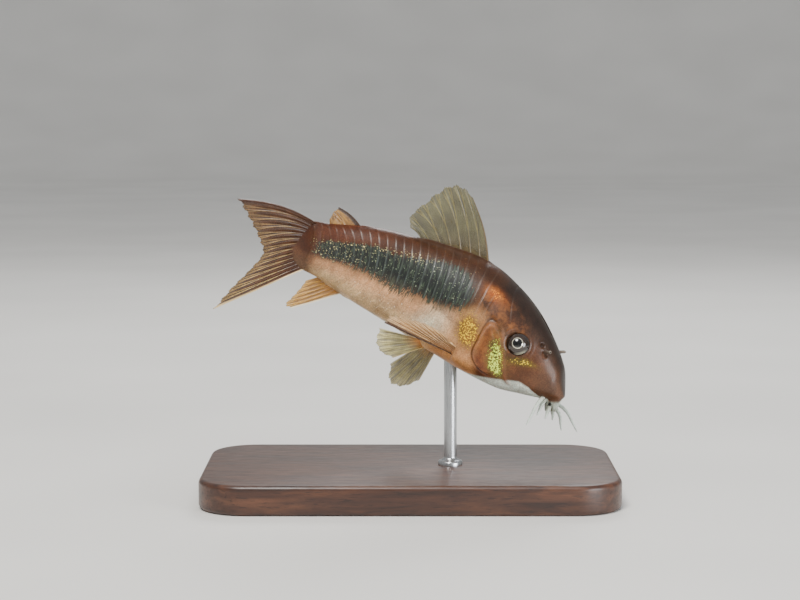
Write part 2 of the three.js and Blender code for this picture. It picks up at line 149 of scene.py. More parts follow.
# a point on the skin: s behind the snout, angle in degrees round from the midline of the back
def skinPoint(s, angle, lift=0):
    s, angle = np.broadcast_arrays(np.asarray(s, float), np.asarray(angle, float))
    nose = np.sqrt(np.clip(1 - np.clip(1 - s / fishShape["noseRadius"], 0, 1) ** 2, 0, 1))
    level = fishShape["noseLevel"]
    top = level + (outline["top"](s) - level) * nose
    bottom = level + (outline["bottom"](s) - level) * nose
    widest = bottom + (top - bottom) * outline["widest"](s)
    thinned = climb(s, sheath["start"], sheath["end"])
    rounded = climb(s, sheath["roundedFrom"], sheath["roundedTo"])
    width = outline["halfWidth"](s) * nose * (1 - sheath["thinning"] * thinned)
    across, up = np.sin(np.radians(angle)), np.cos(np.radians(angle))
    reach = np.where(up > 0, top - widest, widest - bottom)
    reach = reach * (1 - sheath["dip"] * thinned - sheath["rounding"] * rounded)
    power = np.where(up > 0, outline["back"](s), outline["belly"](s))
    y = width * np.sign(across) * np.abs(across) ** power
    z = reach * np.sign(up) * np.abs(up) ** power
    out = np.stack([0 * y, y / np.maximum(width, 0.01) ** 2, z / np.maximum(reach, 0.01) ** 2], -1)
    return np.stack([-s, y, widest + z], -1) + unit(out, 1e-6) * np.asarray(lift)[..., None]


swingAt, droopAt = through(pose["swing"]), through(pose["droop"])
neck, axisStep = pose["neck"], pose["step"]
axisPlaces, axisTurns = [np.array([-neck, 0.0, 0.0])], []
for s in np.arange(neck, pose["end"], axisStep):
    axisTurns.append(turn(0, -droopAt(s), swingAt(s)))
    axisPlaces.append(axisPlaces[-1] + axisTurns[-1] @ np.array([-axisStep, 0, 0]))
axisPlaces, axisTurns = np.array(axisPlaces[:-1]), np.array(axisTurns)
wholeTurn = turn(pose["roll"], pose["pitch"], pose["heading"])
wholePlace = np.array(pose["neckPlace"], float) - wholeTurn @ np.array([-neck, 0, 0])


# straight fish in millimetres to the posed fish in metres
def posed(points):
    points = np.asarray(points, float)
    flat = points.reshape(-1, 3)
    steps = np.clip((-flat[:, 0] - neck) / axisStep, 0, len(axisTurns) - 1.001)
    i = steps.astype(int)
    t = (steps - i)[:, None]
    turns = axisTurns[i] * (1 - t[..., None]) + axisTurns[i + 1] * t[..., None]
    places = axisPlaces[i] * (1 - t) + axisPlaces[i + 1] * t
    bent = places + np.einsum("nij,nj->ni", turns, flat * [0, 1, 1])
    bent = np.where((-flat[:, 0] > neck)[:, None], bent, flat)
    return ((bent @ wholeTurn.T + wholePlace) * mm).reshape(points.shape)


# meshes and materials


def newObject(name, data):
    made = bpy.data.objects.new(name, data)
    bpy.context.scene.collection.objects.link(made)
    return made


def addPiece(name, vertices, faces, replaced, material, marks=None):
    mesh = bpy.data.meshes.new(name)
    mesh.from_pydata(np.asarray(vertices).reshape(-1, 3).tolist(), [], [list(map(int, f)) for f in faces])
    for key, values in (marks or {}).items():
        values = np.asarray(values, np.float32)
        isColour = values.ndim > 1
        layer = mesh.attributes.new(key, "FLOAT_COLOR" if isColour else "FLOAT", "POINT")
        layer.data.foreach_set("color" if isColour else "value", values.ravel())
    mesh.validate()
    mesh.shade_smooth()
    mesh.materials.append(material)
    piece = newObject(name, mesh)
    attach(piece, "root")
    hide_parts(*replaced)
    return piece


# quads over a grid of rows and columns, closed round the columns if wrapped
def gridFaces(rows, columns, wrapped=False):
    r, c = np.meshgrid(np.arange(rows - 1), np.arange(columns if wrapped else columns - 1), indexing="ij")
    nextC = (c + 1) % columns
    quads = [r * columns + c, r * columns + nextC, (r + 1) * columns + nextC, (r + 1) * columns + c]
    return np.stack(quads, -1).reshape(-1, 4)


# a wrapped grid with its ends closed, or only the last one
def tubeFaces(rows, columns, openStart=False):
    last = list(range((rows - 1) * columns, rows * columns))
    ends = [last] if openStart else [list(range(columns))[::-1], last]
    return gridFaces(rows, columns, wrapped=True).tolist() + ends


def hexColour(text, alpha=1):
    values = [int(text[i : i + 2], 16) / 255 for i in (0, 2, 4)]
    return [v / 12.92 if v <= 0.04045 else ((v + 0.055) / 1.055) ** 2.4 for v in values] + [alpha]


# a material and short ways of adding to its nodes; colours are given in hex
class Paint:
    def __init__(self, name, shaderInputs):
        self.material = bpy.data.materials.new(name)
        self.material.use_nodes = True
        self.tree = self.material.node_tree
        self.shader = self.tree.nodes["Principled BSDF"]
        for key, value in shaderInputs.items():
            self.give(key, value)

    def plug(self, socket, value):
        if isinstance(value, bpy.types.NodeSocket):
            self.tree.links.new(value, socket)
        else:
            socket.default_value = hexColour(value) if isinstance(value, str) else value

    def node(self, kind, inputs, **settings):
        made = self.tree.nodes.new("ShaderNode" + kind)
        for key, value in settings.items():
            setattr(made, key, value)
        for key, value in inputs.items():
            self.plug(made.inputs[key], value)
        return made

    def place(self, scale=None, vector=None):
        vector = vector or self.node("TexCoord", {}).outputs["Object"]
        if scale:
            vector = self.node("Mapping", {"Vector": vector, "Scale": scale}).outputs["Vector"]
        return vector

    def noise(self, size, detail=3, roughness=0.55, place=None, distortion=0):
        made = self.node("TexNoise", {
            "Vector": place or self.place(), "Scale": 1 / (size * mm), "Detail": detail,
            "Roughness": roughness, "Distortion": distortion,
        })
        return made.outputs["Fac"]

    def ramp(self, value, *stops):
        made = self.node("ValToRGB", {"Fac": value})
        elements = made.color_ramp.elements
        for i, (position, colour) in enumerate(stops):
            element = elements[i] if i < 2 else elements.new(position)
            element.position = position
            element.color = hexColour(colour) if isinstance(colour, str) else [colour] * 3 + [1]
        return made.outputs["Color"]

    def mix(self, share, first, second, blend="MIX"):
        inputs = {0: share, 6: first, 7: second}
        return self.node("Mix", inputs, data_type="RGBA", blend_type=blend, clamp_factor=True).outputs[2]

    def maths(self, operation, first, second, clamp=False):
        return self.node("Math", {0: first, 1: second}, operation=operation, use_clamp=clamp).outputs[0]

    def times(self, first, second, clamp=False):
        return self.maths("MULTIPLY", first, second, clamp)

    def plus(self, first, second):
        return self.maths("ADD", first, second)

    def minus(self, first, second):
        return self.maths("SUBTRACT", first, second)

    def mark(self, name, output="Fac"):
        return self.node("Attribute", {}, attribute_name=name).outputs[output]

    def give(self, name, value):
        self.plug(self.shader.inputs[name], value)

    def bumps(self, *heights):
        normal = None
        for height, strength, distance in heights:
            inputs = {"Height": height, "Strength": strength, "Distance": distance * mm}
            if normal:
                inputs["Normal"] = normal
            normal = self.node("Bump", inputs).outputs["Normal"]
        self.give("Normal", normal)


# the skin

plates = {
    "start": 17.5,
    "pitch": 1.45,
    "rise": 0.15,
    "sweepUp": 2.4,
    "sweepDown": 1.5,
    "rows": 23,
    "around": 330,
    "stepsPerPlate": 11,
    "ragged": 0.05,
    "sideLineDepth": 0.1,
    "edgeWidth": 0.13,
}
gillCover = {
    "s": 13.7, "angle": 92, "length": 2.3, "round": 26, "rise": 0.34,
    "slit": 1.08, "slitWidth": 0.07, "slitDepth": 0.26, "grooves": 30, "grooveDepth": 0.022,
}
# the bony rib in front of the gill cover, from above the eye to the throat
cheekRib = {
    "down": [60, 63, 80, 95, 124, 132],
    "s": [13.4, 12.9, 11.2, 9.7, 8, 7.6],
    "width": 0.42,
    "rise": 0.13,
}
shoulderPlate = {"s": 19, "down": 88, "length": 2.1, "round": 17, "rise": 0.12}
skull = {"seam": 15.6, "seamDepth": 0.05, "crownSlot": 8.3, "slotDepth": 0.12}
eye = {
    "s": 10.1, "angle": 67, "radius": 2.3, "proud": 0.85, "socketDepth": 1.1, "brow": 2.2, "browRise": 0.1,
    "pupil": 19.5, "ring": 23,  # degrees out from its middle
}
nostril = {
    "s": 5.5, "angle": 44, "flap": 2, "around": 18,
    "pits": ((1, -2, 0.36, 0.5), (-0.3, 5, 0.26, 0.35)),  # back, down, radius, depth
    # height up the tube in front, radius
    "profile": (
        (-0.35, 0.56), (0, 0.5), (0.3, 0.4), (0.7, 0.34), (1.1, 0.31), (1.4, 0.31), (1.52, 0.3),
        (1.58, 0.25), (1.54, 0.19), (1.35, 0.16), (1.1, 0.12),
    ),
    "rootTone": "4c372c",
    "tipTone": "8e877a",
}
lips = {"s": 1.5, "length": 1.35, "width": 1.7, "drop": 1.6, "mouthDepth": 1.5, "forward": 0.22}
# fleshy pads where the paired fins are rooted: s, y, z, width, rise
finPads = (
    (17.9, -5.6, -6.8, 1.5, 0.62), (17.9, 5.6, -6.8, 1.5, 0.62),
    (25.4, -4, -8.2, 1.3, 0.35), (24.6, 3.8, -8.3, 1.3, 0.35),
)
# low ridges that carry the dorsal, adipose and anal fins: degrees down, width, rise, start, end
finRidges = (
    (0, 7, 0.3, (20.5, 22.5), (32, 34.5)),
    (0, 9, 0.2, (41, 43), (47, 49)),
    (180, 9, 0.25, (40.5, 42.5), (45.5, 48)),
)


def rowLean(angle):
    down = np.abs(angle)
    upper = plates["sweepUp"] * np.clip(1 - down / 90, 0, 1) ** 1.3
    return np.where(down < 90, upper, plates["sweepDown"] * np.minimum(1, (down - 90) / 45))


def leanOf(row):
    return climb(row, -1, 4) * (1 - 0.7 * climb(row, 17, 24))


def plateCover(angle):
    down = np.abs(angle)
    sideLine = 1 - 0.7 * bump(down - 90, 3.5)
    fromBack = climb(down, 5, 22) * (0.25 + 0.75 * climb(down, 38, 62))
    return sideLine * fromBack * fall(down, 122, 145)


# rings along the body, bunched at each row's rear edge, and angles evened out round the trunk
def skinRings():
    nose = np.concatenate([[0.004, 0.02, 0.05], np.arange(0.1, 4.2, 0.07)])
    head = np.arange(4.25, plates["start"] - 0.1, 0.12)
    within = np.concatenate([[0.035, 0.07], np.linspace(0.14, 0.93, plates["stepsPerPlate"] - 3), [0.965]])
    rows = [plates["start"] + (row + within) * plates["pitch"] for row in range(plates["rows"])]
    lastRow = plates["start"] + plates["rows"] * plates["pitch"]
    end = np.append(np.arange(lastRow + 0.08, sheath["end"], 0.12), sheath["end"])
    return np.concatenate([nose, head, *rows, end])


def evenAngles(count):
    fine = np.linspace(-180, 180, 7201)
    section = (skinPoint(20, fine)[:, 1:] + skinPoint(9, fine)[:, 1:]) * 0.5
    run = np.concatenate([[0], np.cumsum(np.linalg.norm(np.diff(section, axis=0), axis=1))])
    return np.interp(np.linspace(0, run[-1], count, endpoint=False), run, fine)


# a few crossed waves, so that nothing repeats exactly
def ripple(s, angle, size, seed):
    draw = np.random.default_rng(seed)
    total = 0
    for _ in range(5):
        a, b, c, d = [*draw.uniform(0.6, 1.5, 2), *draw.uniform(0, 6.28, 2)]
        total = total + np.sin(s / size * a * 2 + c + 1.3 * np.sin(angle / 9 * b + d))
    return total / 5


# the rows of plates: how far they lift the skin, and where their rear edges are
def armour(q, s, row, angle):
    down = np.abs(angle)
    phase = np.clip(row, -1, plates["rows"]) % 1
    inRows = climb(row, -0.4, 0.3) * (row < plates["rows"] + 0.01)
    cover = plateCover(angle) * inRows
    tile = np.clip((phase - 0.03) / 0.94, 0, 1) ** 0.75 * fall(phase, 0.93, 1)
    strength = 0.85 + 0.15 * np.sin(np.floor(row) * 2.3)
    lift = plates["rise"] * cover * tile * strength
    lift -= plates["sideLineDepth"] * inRows * bump(down - 90, 1.6) * fall(row, 21, 23)
    lift += 0.02 * ripple(s, angle, 4, 11) * climb(q, 4, 10)
    edge = cover * bump((1 - phase) * plates["pitch"] - 0.1, plates["edgeWidth"]) * (row > 0.2)
    return lift, edge


# gill cover, the slit behind it, the rib in front and the shoulder plate
def addGillCover(lift, s, angle):
    down, gill = np.abs(angle), gillCover
    z = (down - gill["angle"]) / gill["round"]
    x = (s - gill["s"] + 1.2 * z * z * np.sign(z + 0.2)) / gill["length"]
    r = np.hypot(x, z)
    onCover, rearward = fall(r, 0.9, 1), climb(x, -0.5, 0.4)
    lift = lift + gill["rise"] * onCover * (0.35 + 0.65 * rearward) * (1 + 0.15 * (1 - r))
    lift -= gill["slitDepth"] * bump(r - gill["slit"], gill["slitWidth"]) * rearward
    grooves = np.sin(np.arctan2(z, x + 1.3) * gill["grooves"] + 2 * r)
    lift += gill["grooveDepth"] * onCover * grooves * fall(r, 0.7, 0.95)

    onRib = climb(down, 62, 72) * fall(down, 116, 130)
    rib = bump(s - np.interp(down, cheekRib["down"], cheekRib["s"]) - 0.4, cheekRib["width"]) * onRib
    lift += cheekRib["rise"] * rib
    plate = shoulderPlate
    shoulder = bump(s - plate["s"], plate["length"]) * bump(down - plate["down"], plate["round"])
    shoulder = shoulder * climb(s, 16.6, 17.4)
    lift = lift * (1 - 0.55 * np.clip(shoulder * 1.3, 0, 1)) + plate["rise"] * shoulder
    shade = 0.6 * bump(r - 1.1, 0.045) * rearward
    return lift, rib, bump(r - 0.93, 0.07) * rearward, shade


# seams of the skull, eye sockets, nostrils, pads and ridges under the fins
def smallForms(s, angle, base):
    down = np.abs(angle)
    lift = -skull["seamDepth"] * bump(s - skull["seam"] + 0.0009 * down**2, 0.16) * fall(down, 50, 60)
    lift -= skull["slotDepth"] * fall(np.hypot((s - skull["crownSlot"]) / 1.9, down / 4), 0.75, 1)
    for side in sides.values():
        away = np.linalg.norm(base - skinPoint(eye["s"], side * eye["angle"]), axis=-1)
        lift -= eye["socketDepth"] * fall(away, 1, 1.95)
        brow = away - eye["brow"]
        lift += eye["browRise"] * (bump(brow, 0.22) + 0.4 * bump(brow - 0.6, 0.26))
        for back, below, radius, depth in nostril["pits"]:
            centre = skinPoint(nostril["s"] + back, side * (nostril["angle"] + below))
            away = np.linalg.norm(base - centre, axis=-1)
            lift += 0.1 * bump(away - radius * 1.5, 0.16) - depth * bump(away, radius)
    for padS, y, z, width, rise in finPads:
        lift += rise * bump(np.linalg.norm(base - np.array([-padS, y, z]), axis=-1), width)
    for middle, width, rise, start, end in finRidges:
        lift += rise * bump(down - middle, width) * climb(s, *start) * fall(s, *end)
    return lift


# lips pushed out below the snout, with the mouth a slit across them
def poutLips(points, base, normal, s):
    across, fore = base[..., 1] / lips["width"], (s - lips["s"]) / lips["length"]
    ring, curve = np.hypot(across, fore), 0.3 * across**2
    under = climb(-normal[..., 2], 0.05, 0.5) * (base[..., 0] > -5)
    pout = fall(ring, 0.55, 1.12) * under
    slit = bump(fore + 0.1 - curve, 0.27) * fall(np.abs(across), 0.6, 0.95) * under
    rolls = (0.32 * bump(fore + 0.6 - curve, 0.22) + 0.4 * bump(fore - 0.38, 0.26)) * under
    fold = 0.07 * np.sin(across * 22) * bump(ring - 0.62, 0.2) * under
    drop = (lips["drop"] + rolls) * pout * (1 - 0.12 * fore) - lips["mouthDepth"] * slit + fold
    points[..., 2] -= drop
    points[..., 0] += lips["forward"] * drop
    return pout, slit


def buildSkin():
    rings, angles = skinRings(), evenAngles(plates["around"])
    q, angle = np.meshgrid(rings, angles, indexing="ij")
    row = (q - plates["start"]) / plates["pitch"]
    s = q + leanOf(row) * rowLean(angle) * (q > 16)
    rough = ripple(row * 7.3, angle, 0.6, 3) * climb(row, 0, 1) * fall(row, 22, 23)
    s = s + plates["ragged"] * rough
    # over the tail fin the skin runs on in fingers between the rays
    fingers = np.sin(22 * np.cos(np.radians(angle))) * climb(q, sheath["fingersFrom"], sheath["end"])
    s = s + sheath["fingers"] * fingers
    base = skinPoint(s, angle)
    normal = unit(np.cross(np.roll(base, -1, 1) - np.roll(base, 1, 1), np.gradient(base, axis=0)))
    normal[:2] = [1, 0, 0]

    lift, edge = armour(q, s, row, angle)
    lift, rib, coverEdge, gillShade = addGillCover(lift, s, angle)
    lift += smallForms(s, angle, base)
    points = base + normal * lift[..., None]
    pout, slit = poutLips(points, base, normal, s)

    marks = paintSkin(s, angle, row, rib, coverEdge, pout)
    marks["edge"] = edge
    # painted shade: the mouth slit and the gill slit are marked for darkening
    marks["slit"] = np.clip(slit * 1.4 + gillShade, 0, 1)
    columns, lastRing = plates["around"], len(rings) - 1
    about = np.broadcast_to(np.arange(columns) * 0.14 * mm, q.shape)
    marks["flow"] = np.stack([q * mm, about, 0 * q, 1 + 0 * q], -1)
    vertices = points.reshape(-1, 3)
    tip, end = len(vertices), len(vertices) + 1
    vertices = np.vstack([vertices, points[0].mean(0), points[-1].mean(0)])
    faces = gridFaces(len(rings), columns, wrapped=True).tolist()
    faces += [[tip, (c + 1) % columns, c] for c in range(columns)]
    faces += [[end, lastRing * columns + c, lastRing * columns + (c + 1) % columns] for c in range(columns)]
    for key, values in marks.items():
        flat = values.reshape(len(rings) * columns, -1)
        flat = np.vstack([flat, flat[:1], flat[-1:]])
        marks[key] = flat if flat.shape[1] == 4 else flat[:, 0]

    rootTone, tipTone = np.array(hexColour(nostril["rootTone"])), np.array(hexColour(nostril["tipTone"]))
    for side in sides.values():
        flapPoints, flapFaces = nostrilFlap(side)
        faces += [[int(k) + len(vertices) for k in face] for face in flapFaces]
        vertices = np.vstack([vertices, flapPoints])
        count = len(flapPoints)
        outward = np.interp(np.linspace(0, 1, count), [0, 0.3, 0.7, 0.8, 1], [0, 0.3, 1, 0.6, -0.2])[:, None]
        for key, layer in marks.items():
            added = np.zeros((count,) + layer.shape[1:])
            if key == "pigment":
                added = rootTone * (1 - outward) + tipTone * outward
            marks[key] = np.concatenate([layer, added])
    addPiece("skin", posed(vertices), faces, ("head", "trunk", "tail"), skinMaterial(), marks)
    print("skin built:", len(faces), "faces")


# the little tube of skin in front of each nostril, open at its end
def nostrilFlap(side):
    profile, around = nostril["profile"], nostril["around"]
    tallest = max(height for height, _ in profile)
    a = allRound(around)[:, None]
    points = []
    for height, radius in profile:
        height *= nostril["flap"] / tallest
        centre, ahead = [
            skinPoint(nostril["s"] - 0.5 * h, side * nostril["angle"], h) for h in (height, height + 0.1)
        ]
        axis = unit(ahead - centre)
        one = unit(np.cross(axis, [0, 0, 1]))
        two = np.cross(axis, one)
        slant = 0.2 * np.cos(a) * min(1, max(0, height) / 1.2)
        points.append(centre + radius * (np.cos(a) * one + np.sin(a) * two * 0.85) + axis * slant)
    return np.concatenate(points), tubeFaces(len(profile), around, openStart=True)


# where each colour lies, in millimetres behind the snout and degrees round from the back
markings = {
    "bandUpper": [
        [19.5, 60], [21, 53], [24, 44], [28, 41], [32, 45], [37, 53], [41, 55], [46, 60], [52, 72],
    ],
    "bandLower": [
        [19.5, 70], [21, 77], [25.5, 87], [30, 90], [34, 92], [38, 94], [42, 96], [46, 99], [52, 110],
    ],
    "throatLine": [[0, 160], [3.4, 140], [5.2, 112], [7, 106], [10, 116], [13, 133], [16, 152], [20, 172]],
    "back": "44260f",
    "backRear": "5a2f19",
    "headTop": "2c1f17",
    # painted shade round the eye socket
    "orbitShade": "2e221c",
    "flank": "d6a273",
    "belly": "e8c594",
    "cheek": "633a1e",
    "throat": "f4fff2",
    "chest": "e0a064",
    "snout": "664630",
    "lip": "b9c4b6",
    "shoulder": "7d5a1c",
    "gill": "5c6424",
    "streak": "6e5c1e",
    "nape": "b55c12",
    "cream": "fdf4d4",
    "ridge": "84452b",
    "bone": "b98566",
    "cover": "8a4523",
    "sheath": "4d2813",
    "sheathEnd": "5c3a24",
}
# metallic flecks: their colour, and how densely they lie
flecks = {
    "band": ("8f9a80", 0.26),
    "bandRear": ("cdbf86", 0.44),
    "back": ("8d6a45", 0.18),
    "shoulder": ("f7c92e", 0.68),
    "gill": ("e4f75a", 0.8),
    "streak": ("e6c63c", 0.62),
    "nape": ("ff9a24", 0.5),
    "flank": ("f6e6cc", 0.26),
}
# s, degrees down, half length, half height, how s leans with the angle and the angle with s, strength
spots = {
    "gill": (11.776, 94, 1.45, 18, 0.062, 0, 1.5),
    "streak": (8, 80, 1.5, 4.2, -0.1, 2.2, 1.5),
    "shoulder": (18.5, 86, 2.4, 14, 0.03, 0, 1.5),
    "nape": (17.4, 43, 1.9, 6.5, -0.05, 0, 1.2),
    "cream": (26, 103, 3, 12, 0, 2, 0.97),
    # where the painted shade round the eye socket lies
    "orbitShade": (9.9, 65, 2.5, 16, 0, 0, 0.8),
}
shining = ("shoulder", "gill", "streak", "nape")


def spot(name, s, down):
    middleS, middleDown, long, tall, leanS, leanDown, strength = spots[name]
    ds, dDown = s - middleS, down - middleDown
    r = np.hypot((ds + dDown * leanS) / long, (dDown - ds * leanDown) / tall)
    return np.clip(strength * bump(r, 1), 0, 1)


def paintSkin(s, angle, row, rib, coverEdge, pout):
    down = np.abs(angle)
    tone = {key: np.array(hexColour(value)) for key, value in markings.items() if isinstance(value, str)}
    paint, sparkle = np.zeros(s.shape + (4,)), np.zeros(s.shape + (4,))

    def lay(name, share):
        share = np.clip(share, 0, 1)[..., None]
        paint[:] = paint * (1 - share) + tone[name] * share

    def strew(name, share):
        share = np.clip(share, 0, 1)[..., None]
        sparkle[:] = sparkle * (1 - share) + np.array(hexColour(*flecks[name])) * share

    # the band's borders waver, and shift a little from plate to plate
    ragged = 3 * ripple(s, angle, 2.2, 5)
    shift = ragged + 3 * np.sin(np.floor(row) * 12.9898) * (row > 0)
    upper, lower = through(markings["bandUpper"])(s), through(markings["bandLower"])(s)
    band = climb(down + shift * 0.6, upper - 12, upper + 10) * fall(down + shift, lower - 15, lower + 15)
    band = band * climb(s, 18.6, 22.6) * fall(s, 48, 52.5)
    lower = lower + shift

    lay("back", np.ones(s.shape))
    lay("backRear", climb(s, 30, 48))
    lay("flank", climb(down, lower - 14, lower + 8))
    lay("belly", climb(down, lower + 6, lower + 40) * climb(s, 18, 24))
    lay("cream", spot("cream", s, down))
    lay("cheek", fall(s + 0.02 * (down - 60), 15, 17.6) * climb(down, 35, 62))
    lay("headTop", fall(s, 15, 21) * fall(down, 26, 58))
    lay("snout", 0.85 * fall(s, 2.5, 8) * climb(down, 8, 80))
    lay("cover", 0.6 * climb(down, 68, 78) * fall(down, 118, 128) * bump(s - 13.8, 2.3))
    lay("chest", climb(down, 100, 120) * climb(s, 13.5, 15.5) * fall(s, 22, 27))
    throatLine = np.interp(s, *np.array(markings["throatLine"]).T) + ragged * 0.8
    lay("throat", climb(down, throatLine - 3, throatLine + 5) * fall(s, 16, 21))
    lay("lip", climb(pout, 0.15, 0.45))
    for name in shining:
        lay(name, 0.95 * spot(name, s, down))
    lay("ridge", 0.75 * rib * climb(down, 74, 86) * (1 - spot("gill", s, down)))
    lay("bone", 0.8 * np.maximum(rib * fall(down, 68, 84), coverEdge))
    # painted shade: a dark tone laid round the eye socket
    lay("orbitShade", spot("orbitShade", s, down))
    lay("sheath", 0.9 * climb(s + 0.5 * ripple(s, angle, 0.8, 9), 47, 51.6))
    lay("sheathEnd", 0.85 * climb(s, 52.2, 54))

    strew("back", 0.8 * climb(s, 16, 22) * fall(down, 60, 80))
    strew("flank", climb(down, lower, lower + 12) * climb(s, 20, 26) * fall(s, 45, 49))
    strew("band", band)
    # gilt lies thickest along the band's upper border and towards the tail
    border = bump(down - upper - 2, 8) * climb(s, 25, 34)
    gilt = np.maximum(border, climb(band, 0.05, 0.5) * climb(s, 36, 47) * 0.75)
    strew("bandRear", gilt * fall(s, 50.5, 52))
    for name in shining:
        strew(name, spot(name, s, down))
    warm = climb(down, 30, 50) * fall(down, 100, 125) * climb(s, 7, 13) * fall(s, 17, 21)
    return {"pigment": paint, "sparkle": sparkle, "band": band, "warm": warm + spot("nape", s, down)}


skinLook = {
    "shader": {
        "Coat Weight": 0.16, "Coat Roughness": 0.22, "IOR": 1.36, "Subsurface Weight": 0.1,
        "Subsurface Radius": (0.9 * mm, 0.45 * mm, 0.3 * mm), "Subsurface Scale": 1,
    },
    "sparse": 0.74,  # noise above which flecks show where they are rare, and where they crowd
    "dense": 0.42,
    "sharp": 22,
    "fleckMetal": 0.4,
    "bandShare": 0.94,
}


def skinMaterial():
    p = Paint("fishSkin", skinLook["shader"])
    band, density = p.mark("band"), p.mark("sparkle", "Alpha")
    drawnOut = p.place((1, 0.16, 1), p.mark("flow", "Vector"))
    cloud, grain, fleck = p.noise(2.4, 4), p.noise(0.2, 3), p.noise(0.27, 2, 0.6)
    veins = p.noise(1.5, 5, 0.62, None, 0.5)
    streak = p.noise(0.3, 4, 0.65, drawnOut, 0.4)

    # the ground: clouded, grained, and drawn out along the plates
    shaded = p.mix(p.ramp(cloud, (0.35, 0), (0.7, 0.5)), p.mark("pigment", "Color"), "4a3329", "MULTIPLY")
    shaded = p.mix(p.ramp(grain, (0.4, 0.4), (0.6, 0)), shaded, "6b5244", "MULTIPLY")
    shaded = p.mix(p.ramp(streak, (0.5, 0), (0.75, 0.4)), shaded, "d8a47c", "SOFT_LIGHT")
    shaded = p.mix(p.times(p.mark("warm"), p.ramp(veins, (0.44, 0), (0.7, 0.55))), shaded, "a0622f")
    # the dark band breaks up into strokes and dots at its borders
    ragged = p.minus(p.plus(p.times(streak, 1.9), grain), 1.45)
    onBand = p.times(p.minus(p.plus(band, ragged), 0.45), 4.5, clamp=True)
    bandColour = p.ramp(streak, (0.35, "0f1417"), (0.5, "171f1d"), (0.68, "3d493a"))
    banded = p.mix(p.times(onBand, skinLook["bandShare"]), shaded, bandColour)
    # pale rear edges of the plates, fainter off the band
    faint = p.times(p.plus(p.times(onBand, 0.12), 0.05), p.ramp(cloud, (0.3, 0.3), (0.65, 1.3)))
    edged = p.mix(p.times(p.mark("edge"), faint), banded, p.mix(onBand, "b9a888", "8d9a96"))
    # sharp-edged flecks, thicker where they are denser
    level = p.minus(skinLook["sparse"], p.times(density, skinLook["sparse"] - skinLook["dense"]))
    speck = p.times(p.minus(fleck, level), skinLook["sharp"], clamp=True)
    speck = p.times(speck, p.times(density, 8, clamp=True))
    specked = p.mix(speck, edged, p.mark("sparkle", "Color"))
    # painted shade darkens the mouth slit and the gill slit
    p.give("Base Color", p.mix(p.mark("slit"), specked, "1a0f0b"))
    p.give("Metallic", p.times(speck, skinLook["fleckMetal"]))
    p.give("Roughness", p.minus(p.plus(p.times(grain, 0.3), 0.26), p.times(speck, 0.1)))
    p.bumps((streak, 0.35, 0.05), (grain, 0.45, 0.04), (speck, 0.3, 0.02), (cloud, 0.25, 0.12))
    return p.material


# the smooth edge line that a fin's root or tips follow
def edgeLine(points):
    p = np.array([(-s, y, z) for s, y, z in points], float)
    count = len(p)

    def at(u):
        u = np.asarray(u, float)
        place = np.clip(u, 0, 1) * (count - 1)
        i = np.minimum(place.astype(int), count - 2)
        w = (place - i)[..., None]
        before = np.where((i > 0)[..., None], p[np.maximum(i - 1, 0)], 2 * p[0] - p[1])
        after = np.where((i + 2 < count)[..., None], p[np.minimum(i + 2, count - 1)], 2 * p[-1] - p[-2])
        a, b = p[i], p[i + 1]
        gaps = (a - before, b - a, after - b)
        d0, d1, d2 = [np.linalg.norm(gap, axis=-1, keepdims=True) ** 0.5 for gap in gaps]
        t1 = ((a - before) / d0 - (b - before) / (d0 + d1) + (b - a) / d1) * d1
        t2 = ((b - a) / d1 - (after - a) / (d1 + d2) + (after - b) / d2) * d1
        return a + t1 * w + (-3 * a + 3 * b - 2 * t1 - t2) * w**2 + (2 * a - 2 * b + t1 + t2) * w**3

    return at


finDetail = {
    "columnsPerRay": 26,
    "rows": 88,
    "web": 0.06,  # half thickness of the membrane
    "ray": 0.13,
    "scallop": 0.03,  # how far rays run past the membrane between them
    "billow": 0.14,
    "forkSpread": 0.24,
    "forkAgain": 0.1,
    "joints": 150,
    "fray": 0.006,
}
sink = 1.2  # how far a fin's root lies inside the body
